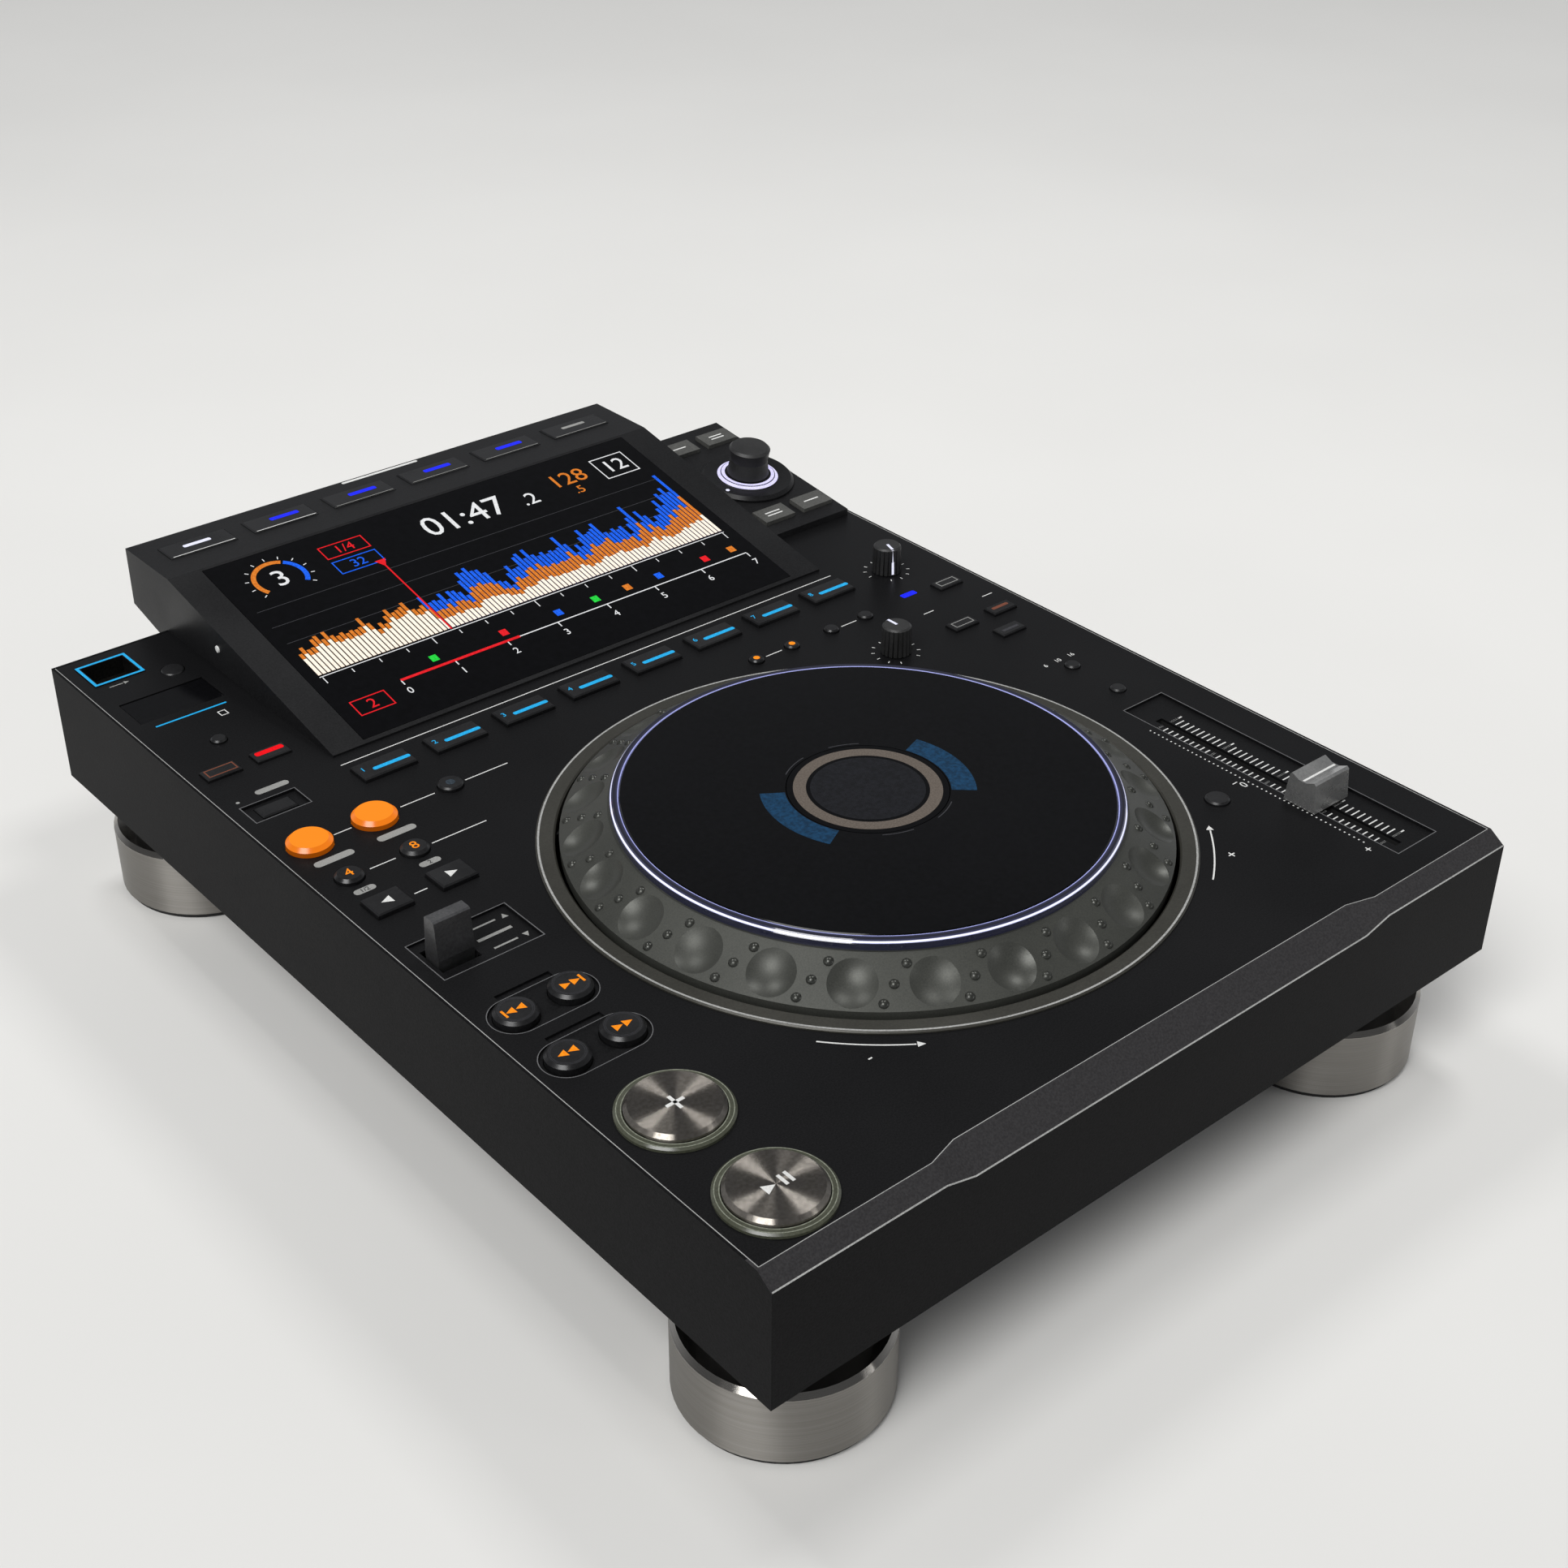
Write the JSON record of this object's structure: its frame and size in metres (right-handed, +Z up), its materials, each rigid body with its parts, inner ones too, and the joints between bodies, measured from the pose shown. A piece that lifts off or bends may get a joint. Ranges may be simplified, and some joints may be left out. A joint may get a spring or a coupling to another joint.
{
  "type": "dj media player",
  "caption": "Table-top media player for mixing music: flat case on four feet, sloping screen, free-turning jog wheel, long tempo fader, direction lever, lit keys and buttons.",
  "frame": {"origin": "middle of the overall box, on the plane the four feet stand on", "axes": "+X to the user's right, +Y to the back where the screen is, +Z up"},
  "size_m": [0.329, 0.453, 0.118],
  "materials": {
    "case": "fine-textured black moulding",
    "panel": "matte black anodised sheet",
    "steel": "plain steel sheet",
    "foot_metal": "brushed, polished edge",
    "rubber": "soft black",
    "bezel": "charcoal, fine grain",
    "glass": "smoked cover glass",
    "screen": "dark display",
    "grey": "satin warm grey",
    "clear": "clear acrylic",
    "gloss": "gloss black",
    "inner": "plain inner moulding",
    "ring": "milky light ring",
    "cap_metal": "spun dark metal",
    "key": "dark key",
    "amber": "lit amber",
    "red": "lit red",
    "grey_key": "grey key",
    "board": "green laminate",
    "socket_metal": "plated shell"
  },
  "bodies": {
    "chassis": {"upper_case": "case", "control_panel": "panel", "bottom_tray": "steel", "foot_shells": "foot_metal", "foot_pads": "rubber", "display_housing": "bezel", "display_glass": "glass", "lcd_module": "screen", "jog_surround": "grey", "jog_bearing": "inner", "jog_display": "gloss", "button_rings": "ring", "browse_pod": "case", "fader_unit": "inner", "sd_slot": "inner", "usb_socket": "key", "signal_sockets": "socket_metal", "mains_inlet": "key", "circuit_boards": "board", "power_supply": "steel"},
    "jog_wheel": {"jog_carrier": "inner", "jog_plate": "gloss", "jog_light_ring": "clear", "jog_grip_ring": "grey"},
    "tempo_fader": {"tempo_fader_cap": "cap_metal"},
    "lever": {"direction_lever": "key"},
    "selector": {"rotary_selector": "key"},
    "card_door": {"sd_door": "key"},
    "vinyl_speed": {"vinyl_speed_knob": "key"},
    "jog_adjust": {"jog_adjust_knob": "key"},
    "play": {"play_button": "cap_metal"},
    "cue": {"cue_button": "cap_metal"},
    "loop_in": {"loop_in_button": "amber"},
    "loop_out": {"loop_out_button": "amber"},
    "reloop": {"reloop_button": "key"},
    "four_beat": {"four_beat_button": "key"},
    "eight_beat": {"eight_beat_button": "key"},
    "track_back": {"track_back_button": "key"},
    "track_forward": {"track_forward_button": "key"},
    "search_back": {"search_back_button": "key"},
    "search_forward": {"search_forward_button": "key"},
    "beat_jump_back": {"beat_jump_back_key": "key"},
    "beat_jump_forward": {"beat_jump_forward_key": "key"},
    "hot_cue_1": {"hot_cue_key_1": "key"},
    "hot_cue_2": {"hot_cue_key_2": "key"},
    "hot_cue_3": {"hot_cue_key_3": "key"},
    "hot_cue_4": {"hot_cue_key_4": "key"},
    "hot_cue_5": {"hot_cue_key_5": "key"},
    "hot_cue_6": {"hot_cue_key_6": "key"},
    "hot_cue_7": {"hot_cue_key_7": "key"},
    "hot_cue_8": {"hot_cue_key_8": "key"},
    "slip": {"slip_key": "key"},
    "quantize": {"quantize_key": "red"},
    "usb_stop": {"usb_stop_button": "key"},
    "time_mode": {"time_mode_button": "key"},
    "memory_row": {"memory_buttons": "key"},
    "function_row": {"function_keys": "key"},
    "menu_row": {"menu_keys": "key"},
    "browse_row": {"browse_keys": "grey_key"},
    "power": {"power_button": "key"}
  },
  "joints": [
    {"name": "jog_turn", "type": "hinge", "parent": "chassis", "child": "jog_wheel", "pos_m": [0, -0.0827, 0.0924], "axis": [0, 0, 1], "continuous": true},
    {"name": "tempo_slide", "type": "slide", "parent": "chassis", "child": "tempo_fader", "axis": [0, 1, 0], "range_m": [-0.0316, 0.0684]},
    {"name": "lever_swing", "type": "hinge", "parent": "chassis", "child": "lever", "pos_m": [-0.1482, -0.051, 0.0794], "axis": [1, 0, 0], "range_deg": [-10, 10]},
    {"name": "selector_turn", "type": "hinge", "parent": "chassis", "child": "selector", "pos_m": [0.1398, 0.149, 0.1004], "axis": [0, -0.1149, 0.9934], "continuous": true},
    {"name": "card_door_swing", "type": "hinge", "parent": "chassis", "child": "card_door", "pos_m": [-0.1407, 0.1553, 0.0914], "axis": [-1, 0, 0], "range_deg": [0, 85]},
    {"name": "vinyl_speed_turn", "type": "hinge", "parent": "chassis", "child": "vinyl_speed", "pos_m": [0.1376, 0.056, 0.0924], "axis": [0, 0, 1], "range_deg": [-300, 0]},
    {"name": "jog_adjust_turn", "type": "hinge", "parent": "chassis", "child": "jog_adjust", "pos_m": [0.093, 0.0024, 0.0924], "axis": [0, 0, 1], "range_deg": [-150, 150]},
    {"name": "play_press", "type": "slide", "parent": "chassis", "child": "play", "axis": [0, 0, 1], "range_m": [-0.0008, 0], "stiffness_N_per_m": 250, "springref_m": 0.0008},
    {"name": "cue_press", "type": "slide", "parent": "chassis", "child": "cue", "axis": [0, 0, 1], "range_m": [-0.0008, 0], "stiffness_N_per_m": 250, "springref_m": 0.0008},
    {"name": "loop_in_press", "type": "slide", "parent": "chassis", "child": "loop_in", "axis": [0, 0, 1], "range_m": [-0.0008, 0], "stiffness_N_per_m": 250, "springref_m": 0.0008},
    {"name": "loop_out_press", "type": "slide", "parent": "chassis", "child": "loop_out", "axis": [0, 0, 1], "range_m": [-0.0008, 0], "stiffness_N_per_m": 250, "springref_m": 0.0008},
    {"name": "reloop_press", "type": "slide", "parent": "chassis", "child": "reloop", "axis": [0, 0, 1], "range_m": [-0.0008, 0], "stiffness_N_per_m": 250, "springref_m": 0.0008},
    {"name": "four_beat_press", "type": "slide", "parent": "chassis", "child": "four_beat", "axis": [0, 0, 1], "range_m": [-0.0008, 0], "stiffness_N_per_m": 250, "springref_m": 0.0008},
    {"name": "eight_beat_press", "type": "slide", "parent": "chassis", "child": "eight_beat", "axis": [0, 0, 1], "range_m": [-0.0008, 0], "stiffness_N_per_m": 250, "springref_m": 0.0008},
    {"name": "track_back_press", "type": "slide", "parent": "chassis", "child": "track_back", "axis": [0, 0, 1], "range_m": [-0.0008, 0], "stiffness_N_per_m": 250, "springref_m": 0.0008},
    {"name": "track_forward_press", "type": "slide", "parent": "chassis", "child": "track_forward", "axis": [0, 0, 1], "range_m": [-0.0008, 0], "stiffness_N_per_m": 250, "springref_m": 0.0008},
    {"name": "search_back_press", "type": "slide", "parent": "chassis", "child": "search_back", "axis": [0, 0, 1], "range_m": [-0.0008, 0], "stiffness_N_per_m": 250, "springref_m": 0.0008},
    {"name": "search_forward_press", "type": "slide", "parent": "chassis", "child": "search_forward", "axis": [0, 0, 1], "range_m": [-0.0008, 0], "stiffness_N_per_m": 250, "springref_m": 0.0008},
    {"name": "beat_jump_back_press", "type": "slide", "parent": "chassis", "child": "beat_jump_back", "axis": [0, 0, 1], "range_m": [-0.0008, 0], "stiffness_N_per_m": 250, "springref_m": 0.0008},
    {"name": "beat_jump_forward_press", "type": "slide", "parent": "chassis", "child": "beat_jump_forward", "axis": [0, 0, 1], "range_m": [-0.0008, 0], "stiffness_N_per_m": 250, "springref_m": 0.0008},
    {"name": "hot_cue_1_press", "type": "slide", "parent": "chassis", "child": "hot_cue_1", "axis": [0, 0, 1], "range_m": [-0.0008, 0], "stiffness_N_per_m": 250, "springref_m": 0.0008},
    {"name": "hot_cue_2_press", "type": "slide", "parent": "chassis", "child": "hot_cue_2", "axis": [0, 0, 1], "range_m": [-0.0008, 0], "stiffness_N_per_m": 250, "springref_m": 0.0008},
    {"name": "hot_cue_3_press", "type": "slide", "parent": "chassis", "child": "hot_cue_3", "axis": [0, 0, 1], "range_m": [-0.0008, 0], "stiffness_N_per_m": 250, "springref_m": 0.0008},
    {"name": "hot_cue_4_press", "type": "slide", "parent": "chassis", "child": "hot_cue_4", "axis": [0, 0, 1], "range_m": [-0.0008, 0], "stiffness_N_per_m": 250, "springref_m": 0.0008},
    {"name": "hot_cue_5_press", "type": "slide", "parent": "chassis", "child": "hot_cue_5", "axis": [0, 0, 1], "range_m": [-0.0008, 0], "stiffness_N_per_m": 250, "springref_m": 0.0008},
    {"name": "hot_cue_6_press", "type": "slide", "parent": "chassis", "child": "hot_cue_6", "axis": [0, 0, 1], "range_m": [-0.0008, 0], "stiffness_N_per_m": 250, "springref_m": 0.0008},
    {"name": "hot_cue_7_press", "type": "slide", "parent": "chassis", "child": "hot_cue_7", "axis": [0, 0, 1], "range_m": [-0.0008, 0], "stiffness_N_per_m": 250, "springref_m": 0.0008},
    {"name": "hot_cue_8_press", "type": "slide", "parent": "chassis", "child": "hot_cue_8", "axis": [0, 0, 1], "range_m": [-0.0008, 0], "stiffness_N_per_m": 250, "springref_m": 0.0008},
    {"name": "slip_press", "type": "slide", "parent": "chassis", "child": "slip", "axis": [0, 0, 1], "range_m": [-0.0008, 0], "stiffness_N_per_m": 250, "springref_m": 0.0008},
    {"name": "quantize_press", "type": "slide", "parent": "chassis", "child": "quantize", "axis": [0, 0, 1], "range_m": [-0.0008, 0], "stiffness_N_per_m": 250, "springref_m": 0.0008},
    {"name": "usb_stop_press", "type": "slide", "parent": "chassis", "child": "usb_stop", "axis": [0, 0, 1], "range_m": [-0.0008, 0], "stiffness_N_per_m": 250, "springref_m": 0.0008},
    {"name": "time_mode_press", "type": "slide", "parent": "chassis", "child": "time_mode", "axis": [0, 0, 1], "range_m": [-0.0008, 0], "stiffness_N_per_m": 250, "springref_m": 0.0008},
    {"name": "memory_row_press", "type": "slide", "parent": "chassis", "child": "memory_row", "axis": [0, 0, 1], "range_m": [-0.0008, 0], "stiffness_N_per_m": 250, "springref_m": 0.0008},
    {"name": "function_row_press", "type": "slide", "parent": "chassis", "child": "function_row", "axis": [0, 0, 1], "range_m": [-0.0008, 0], "stiffness_N_per_m": 250, "springref_m": 0.0008},
    {"name": "menu_row_press", "type": "slide", "parent": "chassis", "child": "menu_row", "axis": [0, 0, 1], "range_m": [-0.0008, 0], "stiffness_N_per_m": 250, "springref_m": 0.0008},
    {"name": "browse_row_press", "type": "slide", "parent": "chassis", "child": "browse_row", "axis": [0, -0.1149, 0.9934], "range_m": [-0.0008, 0], "stiffness_N_per_m": 250, "springref_m": 0.0008},
    {"name": "power_press", "type": "slide", "parent": "chassis", "child": "power", "axis": [0, -1, 0], "range_m": [0, 0.0025], "stiffness_N_per_m": 250, "springref_m": -0.0008}
  ]
}
